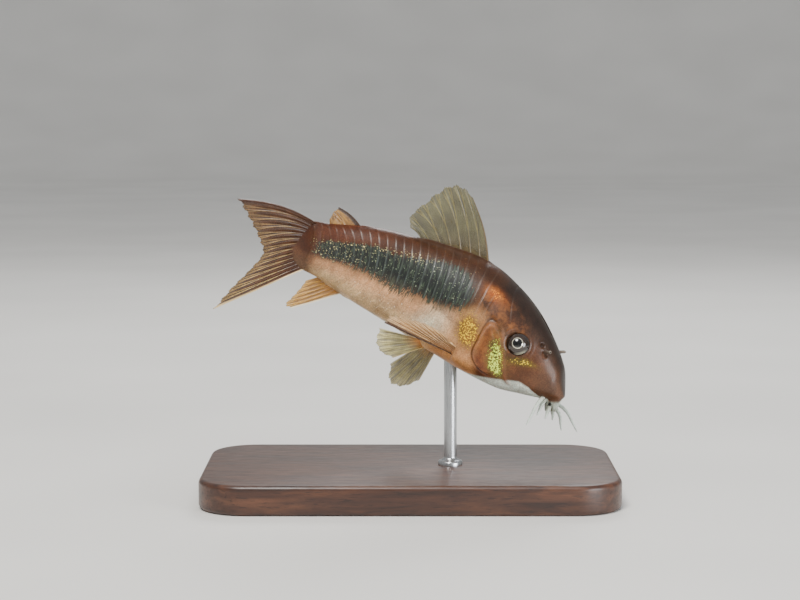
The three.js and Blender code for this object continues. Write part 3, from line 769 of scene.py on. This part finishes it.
# root and tips run from the front, as s, y, z of the left side; bow is how far its middle
# arches, as x, y, z from the front edge to the rear one
finShapes = {
    "dorsal": {
        "rays": 8, "spine": 0.3, "bow": [(0.5, 0, 0.4), (0, 0.35, 0.4)],
        "root": [(21.3, 0, 8.5 - sink), (27.2, 0, 8 - sink), (32.8, 0, 7.4 - sink)],
        "tips": [
            (29, 0, 17.1), (30.9, 0, 18), (32.7, 0, 17.7), (34.2, 0, 15.8), (35.5, 0, 13),
            (36.8, 0, 9.9), (36.1, 0, 8.1),
        ],
    },
    "adipose": {
        "rays": 3, "spine": 0.28, "bow": [(0, 0, 0.5), (0, 0, 0)],
        "root": [(42.6, 0, 5.8 - sink), (45.4, 0, 5 - sink), (48.2, 0, 4.3 - sink)],
        "tips": [(48, 0, 7.4), (48.6, 0, 6.4), (48.9, 0, 4.9)],
    },
    "anal": {
        "rays": 7, "spine": 0.2, "bow": [(0, 0, -0.4), (0, 0, 0)],
        "root": [(42, 0, -7 + sink), (44.2, 0, -6.2 + sink), (46.4, 0, -5.5 + sink)],
        "tips": [(51, 0, -11.4), (52.2, 0, -11.1), (51.3, 0, -9.5), (50.3, 0, -7.7), (49.7, 0, -6.2)],
    },
    "tail": {
        "rays": 14, "spine": 0.26, "twoSpines": True, "forkAt": 0.35,
        "bow": [(0, -0.8, 0.9), (0, 0, 0.18), (0, 0, -0.54)],
        "root": [(50.4, 0, 3.7), (51, 0, 1.4), (50.8, 0, -1.4), (50, 0, -3.8)],
        "tips": [
            (65.4, -2.4, 6.4), (62.6, -1.4, 3), (60, -0.6, -0.4), (58.6, 0, -3), (60.3, 0, -6.1),
            (63, 0, -9.6), (65.6, 0, -13.4),
        ],
    },
    "pectoral": {
        "rays": 9, "spine": 0.34, "bow": [(0, 0.9, 0)], "droop": 0.2,
        "leftLength": 0.7,  # the bend draws the right side together and spreads the left
        "root": [(17.5, 5.2, -7.4), (17.9, 5.6, -6.8), (18.4, 5.8, -6.1)],
        "tips": [
            (34, 11.4, -6.5), (33.6, 10.4, -5.4), (30.2, 9.6, -4.7), (26.4, 8.9, -4.2),
            (22.6, 8.2, -4.4),
        ],
    },
    "pelvic": {
        "rays": 6, "spine": 0.2, "bow": [(0, 0.5, 0)],
        "root": [(24.6, 3.4, -8.4), (25.4, 4, -8.1), (26.4, 4.6, -7.7)],
        "tips": [(29.4, 6.2, -12.3), (32, 7.6, -12.1), (34, 8.2, -10.6), (34.4, 8, -8.4)],
        "leftRoot": [(23.8, 3.2, -8.4), (24.6, 3.8, -8.2), (25.4, 4.4, -7.8)],
        "leftTips": [(24.4, 5.4, -15.8), (26.4, 6, -18.2), (28.6, 6.4, -18.6), (29.8, 6.6, -15.6)],
    },
}


# a fin between its root and tip lines: rays fork towards the edge and the web sags between them
def buildFin(kind, material, sideName=""):
    name = "fin" + kind.title() + sideName.title()
    node = "_".join(filter(None, ("fin", kind, sideName)))
    shape, side, stretch = finShapes[kind], sides.get(sideName, 1), 1
    lines = [shape["root"], shape["tips"]]
    if sideName == "left":
        stretch = shape.get("leftLength", 1)
        lines = [shape.get("leftRoot", lines[0]), shape.get("leftTips", lines[1])]
    root, tips = [edgeLine([(18 + (s - 18) * stretch, side * y, z) for s, y, z in line]) for line in lines]
    rays, detail = shape["rays"], finDetail
    columns, rows = detail["columnsPerRay"] * (rays - 1) + 1, detail["rows"]
    u, v = np.meshgrid(np.linspace(0, 1, columns), np.linspace(0, 1, rows), indexing="xy")
    place = u * (rays - 1)
    nearest = np.round(place)
    away = np.abs(place - nearest)
    stiff = nearest == 0
    if "twoSpines" in shape:
        stiff = stiff | (nearest == rays - 1)
    draw = np.random.default_rng(rays * 7 + len(name))
    forks = (shape.get("forkAt", 0.42) + draw.uniform(-0.07, 0.07, rays))[nearest.astype(int)]
    twig = np.abs(away - detail["forkSpread"] * np.clip((v - forks) / (1 - forks), 0, 1) ** 0.85)
    twig = np.abs(twig - detail["forkAgain"] * np.clip((v - forks - 0.3) / (0.7 - forks), 0, 1))
    width = np.where(stiff, 0.22 - 0.09 * v, 0.1 - 0.055 * v**0.7)
    line = bump(np.where(stiff, away, twig), width)
    # soft rays are built of short joints
    joint = 1 - 0.22 * (np.sin(v * detail["joints"] + nearest * 1.7) > 0.75) * (v > 0.25) * ~stiff
    tall = np.where(stiff, shape["spine"], detail["ray"]) * (1 - 0.55 * v)
    half = detail["web"] * (1 - 0.35 * v) + tall * line * joint + 0.12 * fall(v, 0.08, 0.25)
    hang = 1 + detail["scallop"] * (np.cos(2 * math.pi * place) - 1) / 2 * climb(v, 0.6, 1)
    fray = detail["fray"] * (np.sin(place * 17) + np.sin(place * 41 + 2)) * climb(v, 0.75, 1)
    reach = v * (hang + fray)
    start, end = root(u), tips(u)
    stations = np.linspace(0, 1, len(shape["bow"]))
    bow = np.stack([np.interp(u, stations, sizes) for sizes in zip(*shape["bow"])], -1)
    bow = bow * np.sin(math.pi * reach)[..., None] * [1, side, 1]
    bow[..., 2] -= shape.get("droop", 0) * reach
    middle = start + (end - start) * reach[..., None] + bow
    normal = unit(np.cross(np.gradient(middle, axis=0), np.gradient(middle, axis=1)))
    sag = detail["billow"] * np.sin(math.pi * v) ** 0.7 * np.sin(math.pi * place) ** 2 * (away > 0.001)
    middle = middle + normal * sag[..., None]
    sheets = [middle + normal * half[..., None], middle - normal * half[..., None]]
    count = rows * columns
    face = gridFaces(rows, columns)
    border = np.concatenate([
        np.arange(columns),
        np.arange(1, rows) * columns + columns - 1,
        np.arange(columns - 2, -1, -1) + (rows - 1) * columns,
        np.arange(rows - 2, 0, -1) * columns,
    ])
    following = np.roll(border, -1)
    rim = np.stack([following, border, border + count, following + count], -1)
    faces = face.tolist() + (face[:, ::-1] + count).tolist() + rim.tolist()
    marks = {"ray": line, "out": v, "over": u, "joint": 1 - joint}
    marks = {key: np.tile(np.asarray(values, float).ravel(), 2) for key, values in marks.items()}
    straight = np.vstack([sheet.reshape(-1, 3) for sheet in sheets])
    addPiece(name, posed(straight), faces, (node,), material, marks)


# tones: root, web, rim, dark streaks, rays at their roots, rays
finLooks = {
    "dorsal": {
        "tones": ("4f3a24", "6a653f", "7f7a56", "4a4228", "6a4f34", "968a62"),
        "rayShow": 0.42, "spine": "6e5c40", "streaks": 6, "clear": 0.74,
    },
    "adipose": {
        "tones": ("7c4c24", "bb8a3c", "cfa04c", "6b4420", "5a3a20", "6e4824"),
        "rayShow": 0.5, "spine": "3c2415", "spineWidth": 0.22, "streaks": 3, "clear": 0.8,
    },
    "tail": {
        "tones": ("45240f", "603a20", "80603a", "38200f", "54301a", "b3946a"),
        # the lower lobe's rays: their cream tone brightened by a painted highlight
        "lowerRayAndGlint": "f2d184", "rayShow": 0.92, "rayFrom": 0.54, "rootSpan": (0.2, 0.42),
        "spine": "4a2c1c", "spineWidth": 0.035, "lastEdge": "d8bd8a", "streaks": 16, "clear": 0.93,
    },
    "anal": {
        "tones": ("b97f42", "b07f2a", "e2c888", "8a622c", "c98430", "f0b850"),
        "rayShow": 0.85, "spine": "e9dcb8", "spineWidth": 0.05, "streaks": 8, "clear": 0.86,
    },
    "pectoral": {
        "tones": ("a5683a", "c0925a", "d9bd92", "7a5232", "c08a5c", "ecc998"),
        "rayShow": 0.85, "spine": "452818", "spineWidth": 0.1, "streaks": 12, "clear": 0.8,
    },
    "pelvic": {
        "tones": ("c97f36", "b5a866", "e3ddb4", "554a28", "c47a34", "ddd092"),
        "rayShow": 0.75, "spine": "b49c66", "lastEdge": "e6e0c6", "streaks": 7, "clear": 0.86,
    },
}


def finMaterial(name, looks):
    p = Paint(name, {"Roughness": 0.36, "Coat Weight": 0.3, "Coat Roughness": 0.2, "IOR": 1.4})
    ray, out, over = p.mark("ray"), p.mark("out"), p.mark("over")
    blotch, grain = p.noise(1.5, 4), p.noise(0.16, 3)
    # streaks that run out along the rays
    drawn = p.node("CombineXYZ", {"X": p.times(over, looks["streaks"]), "Y": out}).outputs["Vector"]
    streak = p.node("TexNoise", {"Vector": drawn, "Scale": 3, "Detail": 4}).outputs["Fac"]
    rootFrom, rootTo = looks.get("rootSpan", (0.05, 0.42))
    pastRoot = p.ramp(out, (rootFrom, 0), (rootTo, 1))
    root, web, rim, dark, rayRoot, rayTone = looks["tones"]
    web = p.mix(pastRoot, root, web)
    web = p.mix(p.ramp(out, (0.82, 0), (1, 0.7)), web, rim)
    web = p.mix(p.ramp(streak, (0.42, 0), (0.62, 0.75)), web, dark)
    # towards the lower lobe the rays take the tone that carries a painted highlight
    rays = p.mix(pastRoot, rayRoot, p.mix(over, rayTone, looks.get("lowerRayAndGlint", rayTone)))
    rayFrom = looks.get("rayFrom", 0.3)
    tinted = p.mix(p.ramp(ray, (rayFrom, 0), (rayFrom + 0.45, looks["rayShow"])), web, rays)
    tinted = p.mix(p.ramp(p.mark("joint"), (0, 0), (0.2, 0.3)), tinted, dark)
    tinted = p.mix(p.ramp(blotch, (0.4, 0), (0.7, 0.35)), tinted, dark, "MULTIPLY")
    spineWidth = looks.get("spineWidth", 0.03)
    tinted = p.mix(p.ramp(over, (spineWidth * 0.6, 1), (spineWidth, 0)), tinted, looks["spine"])
    if "lastEdge" in looks:
        tinted = p.mix(p.ramp(over, (0.97, 0), (0.985, 0.9)), tinted, looks["lastEdge"])
    p.give("Base Color", tinted)
    clear = p.mix(out, [looks["clear"]] * 3 + [1], [looks["clear"] - 0.16] * 3 + [1])
    solid = p.maths("MAXIMUM", p.ramp(ray, (0.15, 0), (0.7, 0.93)), clear)
    solid = p.maths("MAXIMUM", solid, p.ramp(streak, (0.5, 0), (0.7, 0.85)))
    atRoot = p.ramp(out, (rootFrom + 0.05, 1), (rootTo + 0.1, 0))
    p.give("Alpha", p.maths("MAXIMUM", solid, atRoot))
    p.bumps((grain, 0.35, 0.03), (streak, 0.3, 0.05))
    return p.material


def buildFins():
    materials = {kind: finMaterial(kind + "Fin", looks) for kind, looks in finLooks.items()}
    for kind in ("dorsal", "adipose", "anal", "tail"):
        buildFin(kind, materials[kind])
    for sideName in sides:
        for kind in ("pectoral", "pelvic"):
            buildFin(kind, materials[kind], sideName)
    print("fins built")


def buildEyes():
    material = eyeMaterial()
    rings = np.concatenate([[0.3], np.arange(1.5, 110, 1.5), np.arange(112, 180, 8)])
    polar, about = np.meshgrid(rings, np.arange(0, 360, 3.75), indexing="ij")
    p, a = np.radians(polar), np.radians(about)
    radius = eye["radius"] * (1 + 0.045 * bump(polar, 26) - 0.012 * bump(polar - 27, 3))
    pleats = np.abs(np.sin(a * 17 + np.sin(a * 5)))
    radius -= 0.006 * pleats * climb(polar, 25, 30) * fall(polar, 45, 55)
    for name, side in sides.items():
        on, above, centre = [
            skinPoint(eye["s"], side * eye["angle"], lift) for lift in (0, 1, eye["proud"] - eye["radius"])
        ]
        outward = unit(above - on + np.array([0.12, 0, 0]))
        one = unit(np.cross(outward, [1, 0, 0]))
        two = np.cross(outward, one)
        around = np.cos(a)[..., None] * one + np.sin(a)[..., None] * two
        toward = np.cos(p)[..., None] * outward + np.sin(p)[..., None] * around
        ball = centre + radius[..., None] * toward
        # the side of the ball that carries the painted reflection, its lower front
        reflectionSide = climb((toward * np.array([0.7, 0, -0.71])).sum(-1), 0.45, 0.85)
        marks = {"polar": polar.ravel(), "low": reflectionSide.ravel()}
        faces, node = tubeFaces(*polar.shape), "eye_" + name
        addPiece("eye" + name.title(), posed(ball), faces, (node,), material, marks)
    print("eyes built")


def eyeMaterial():
    p = Paint("eye", {"Roughness": 0.08, "Coat Weight": 1, "Coat Roughness": 0.02, "IOR": 1.45})
    degrees = p.maths("DIVIDE", p.mark("polar"), 90)
    pupil, ring = eye["pupil"] / 90, eye["ring"] / 90
    black, silver = "050506", "d8d2bd"
    bands = p.ramp(
        degrees, (0, black), (pupil - 0.006, black), (pupil + 0.01, silver), (ring - 0.01, silver),
        (ring + 0.012, "2a1d15"), (0.5, "1d1510"), (0.66, "120d0a"), (1, "0c0907"),
    )
    flecked = p.mix(p.ramp(p.noise(0.3, 4, 0.7), (0.55, 0), (0.75, 0.4)), bands, "7a5a34")
    iris = p.mix(p.ramp(degrees, (pupil - 0.01, 1), (pupil + 0.01, 0)), flecked, black)
    # a painted reflection: a pale crescent at the lower edge
    paintedReflection = p.times(p.mark("low"), p.ramp(degrees, (0.4, 0), (0.48, 1), (0.56, 1), (0.6, 0)))
    p.give("Base Color", p.mix(p.times(paintedReflection, 0.8), iris, "c9c3a8"))
    p.give("Metallic", p.ramp(degrees, (pupil, 0), (pupil + 0.01, 0.6), (0.28, 0.1), (0.6, 0)))
    return p.material


barbels = {
    "UpperRight": [(2.8, -2.5, -7.3), (2.8, -3.5, -8.8), (2.7, -4.1, -10.5), (2.6, -4.5, -11.9)],
    "LowerRight": [(2.4, -1.9, -7.9), (2.3, -2.4, -8.8), (2, -2.9, -9.9)],
    "ChinRight": [(1.2, -0.9, -8.7), (1.1, -1.1, -9.3), (0.9, -1.2, -10)],
    "UpperLeft": [
        (2.6, 2.5, -7.4), (0.8, 2.9, -7.4), (-1, 3.2, -7.9), (-2.3, 3.9, -9), (-3.7, 4.4, -10.2),
    ],
    "LowerLeft": [(2.2, 2, -8), (0.6, 2.4, -8.3), (-0.4, 2.6, -9.1), (-0.9, 2.8, -10), (-1.5, 3, -11.1)],
    "ChinLeft": [(0.8, 0.9, -8.7), (0.5, 1.1, -9.3), (0.2, 1.2, -10)],
}
barbelSizes = {
    "root": 0.48, "tip": 0.15, "steps": 60, "around": 20, "inward": 0.9, "waver": 0.05, "knobs": 0.1,
}


def buildBarbels():
    material, size = barbelMaterial(), barbelSizes
    steps, around = size["steps"], size["around"]
    t, a = np.linspace(0, 1, steps), allRound(around)
    radius = size["root"] + (size["tip"] - size["root"]) * t**0.8
    radius = radius * np.sqrt(np.clip(1.03 - t**14, 0.05, 1))
    lumps = np.sin(t[:, None] * 70 + 2 * np.sin(a * 2)) * np.sin(a * 3 + t[:, None] * 6)
    knobs = 1 + size["knobs"] * lumps
    for name, points in barbels.items():
        first, second = np.array(points[0]), np.array(points[1])
        start = first + unit(first - second) * size["inward"]
        phase = len(name) + points[0][1]
        waver = np.stack([np.sin(t * 9 + phase), np.cos(t * 7 + phase), 0 * t], -1) * t[:, None]
        line = edgeLine([tuple(start), *points])(t) + size["waver"] * waver
        ahead = unit(np.gradient(line, axis=0))
        one = unit(np.cross(ahead, [0.3, 0.9, 0.1]))
        two = np.cross(ahead, one)
        ring = np.cos(a)[None, :, None] * one[:, None] + np.sin(a)[None, :, None] * two[:, None] * 0.85
        tube = line[:, None] + ring * (radius[:, None] * knobs)[..., None]
        node = "barbel_" + name.replace("Right", "_right").replace("Left", "_left").lower()
        marks = {"out": np.repeat(t, around)}
        addPiece("barbel" + name, posed(tube), tubeFaces(steps, around), (node,), material, marks)
    print("barbels built")


def barbelMaterial():
    p = Paint("barbel", {
        "Roughness": 0.35, "Coat Weight": 0.4, "Coat Roughness": 0.15, "IOR": 1.4,
        "Subsurface Weight": 0.35, "Subsurface Radius": (0.4 * mm, 0.4 * mm, 0.35 * mm),
    })
    grain = p.noise(0.35, 4)
    paler = p.ramp(p.mark("out"), (0, "b0b3a4"), (0.35, "bfc9bd"), (1, "d5e0d8"))
    p.give("Base Color", p.mix(p.ramp(grain, (0.45, 0), (0.7, 0.4)), paler, "a08b76", "MULTIPLY"))
    p.bumps((grain, 0.4, 0.05))
    return p.material


stand = {
    "length": 70,
    "width": 40,
    "height": 5,
    "corner": 8,
    "bevel": 0.8,
    "rodRadius": 1.1,
    "rodStation": 25,
    "rodSides": 48,
    "intoBelly": 0.5,
    "collar": 2.1,
}


# a turned or lofted solid from rings of equal length
def ringSolid(name, rings, replaced, material):
    faces = tubeFaces(len(rings), len(rings[0]))
    piece = addPiece(name, np.array(rings) * mm, faces, replaced, material)
    piece.modifiers.new("edges", "EDGE_SPLIT").split_angle = math.radians(40)


def roundedOutline(length, width, corner, steps=14):
    around = []
    for k, (sx, sy) in enumerate(((1, -1), (1, 1), (-1, 1), (-1, -1))):
        for a in np.radians(np.linspace(-90, 0, steps) + 90 * k):
            x, y = sx * (length / 2 - corner), sy * (width / 2 - corner)
            around.append((x + corner * math.cos(a), y + corner * math.sin(a)))
    return around


def buildStand():
    bevel, top = stand["bevel"], stand["height"]
    quarter = np.linspace(0, math.pi / 2, 7)
    profile = [(bevel * (1 - math.sin(a)), bevel * (1 - math.cos(a))) for a in quarter]
    profile += [(bevel * (1 - math.cos(a)), top - bevel * (1 - math.sin(a))) for a in quarter]
    rings = []
    for inset, z in profile:
        corners = (stand["length"] - 2 * inset, stand["width"] - 2 * inset, stand["corner"] - inset)
        rings.append([(x, y, z) for x, y in roundedOutline(*corners)])
    ringSolid("standBase", rings, ("stand_base",), woodMaterial())

    x, y = posed([-stand["rodStation"], 0, 0])[:2] / mm
    r, c, end = stand["rodRadius"], stand["collar"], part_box("stand_rod")[1].z / mm + stand["intoBelly"]
    collar = [(c, 0), (c, 0.55), (c - 0.12, 0.72), (c - 0.5, 0.84), (r + 0.1, 1.1), (r + 0.02, 1.3), (r, 1.5)]
    profile = [(radius, top + z) for radius, z in collar] + [(r, end - 0.6), (r * 0.9, end)]
    about = allRound(stand["rodSides"])
    rings = [[(x + w * math.cos(a), y + w * math.sin(a), z) for a in about] for w, z in profile]
    ringSolid("standRod", rings, ("stand_rod",), steelMaterial())
    print("stand built")


def woodMaterial():
    p = Paint("darkWood", {"Coat Weight": 0.25, "Coat Roughness": 0.25})
    place = p.place((0.12, 1, 1))
    grain, pore = p.noise(1.6, 8, 0.6, place, 0.6), p.noise(0.35, 3, 0.7, place)
    colour = p.ramp(grain, (0.32, "2a1710"), (0.5, "43271a"), (0.68, "5a3724"))
    p.give("Base Color", p.mix(p.ramp(pore, (0.56, 0), (0.66, 0.7)), colour, "1c0f0a"))
    p.give("Roughness", p.ramp(pore, (0.3, 0.34), (0.7, 0.52)))
    p.bumps((pore, 0.3, 0.08), (grain, 0.15, 0.1))
    return p.material


def steelMaterial():
    p = Paint("brushedSteel", {"Metallic": 1, "IOR": 2.5})
    lines = p.noise(0.12, 3, 0.6, p.place((1, 1, 0.03)))
    p.give("Base Color", p.ramp(lines, (0.3, "a9acb0"), (0.7, "d2d4d6")))
    p.give("Roughness", p.ramp(lines, (0.3, 0.2), (0.7, 0.38)))
    p.bumps((lines, 0.15, 0.02))
    return p.material


# room, light and camera

studio = {
    "lens": 94.5,
    "camera": (-1.7, -354.2, 70.4),
    "downward": 6,
    "floorRadius": 1.1,
    "rise": 0.5,
    "wall": 1,
    "turns": 96,
    "under": 0.00002,  # the floor lies this far below the stand
    "air": (0.93, 0.95, 1, 1),
    "world": 0.5,
}
# place, size, power, colour
lamps = {
    "key": ((-0.14, -0.36, 0.62), 0.26, 6, (1, 0.97, 0.92)),
    "fill": ((0.34, -0.3, 0.07), 0.24, 2, (0.95, 0.97, 1)),
    "rim": ((0.05, 0.32, 0.3), 0.2, 0.7, (1, 1, 1)),
}
aim = Vector((0, 0, 0.03))


def addLight(name, place, size, power, colour):
    light = bpy.data.lights.new(name, "AREA")
    light.shape, light.size, light.energy, light.color = "DISK", size, power, colour
    lamp = newObject(name, light)
    lamp.location = place
    lamp.visible_camera = False
    lamp.rotation_euler = (aim - Vector(place)).to_track_quat("-Z", "Y").to_euler()


def buildStudio():
    p = Paint("paleFloor", {"Roughness": 0.75})
    p.give("Base Color", p.ramp(p.noise(60, 1), (0.3, "dddcd8"), (0.7, "e4e3df")))
    # a round floor that sweeps up into a low wall on every side
    flat, rise, turns = studio["floorRadius"], studio["rise"], studio["turns"]
    sweep = [(r, 0) for r in (0.01, 0.1, 0.3, 0.6, flat)]
    curve = np.linspace(0.07, math.pi / 2, 22)
    sweep += [(flat + math.sin(a) * rise, (1 - math.cos(a)) * rise) for a in curve]
    sweep.append((flat + rise, studio["wall"]))
    under = studio["under"]
    ground = [(r * math.cos(a), r * math.sin(a), z - under) for r, z in sweep for a in allRound(turns)]
    mesh = bpy.data.meshes.new("floor")
    mesh.from_pydata(ground, [], gridFaces(len(sweep), turns, wrapped=True).tolist() + [list(range(turns))])
    mesh.shade_smooth()
    mesh.materials.append(p.material)
    floor = newObject("floor", mesh)
    world = bpy.data.worlds.new("studioAir")
    world.use_nodes = True
    background = world.node_tree.nodes["Background"]
    background.inputs["Color"].default_value = studio["air"]
    background.inputs["Strength"].default_value = studio["world"]
    bpy.context.scene.world = world
    for name, settings in lamps.items():
        addLight(name, *settings)
    print("studio lit")


def placeCamera():
    camera = newObject("camera", bpy.data.cameras.new("camera"))
    camera.data.lens = studio["lens"]
    camera.data.clip_start = 0.01
    camera.location = [value * mm for value in studio["camera"]]
    camera.rotation_euler = (math.radians(90 - studio["downward"]), 0, 0)
    bpy.context.scene.camera = camera
    print("camera set")


placeCamera()
buildSkin()
buildFins()
buildEyes()
buildBarbels()
buildStand()
buildStudio()
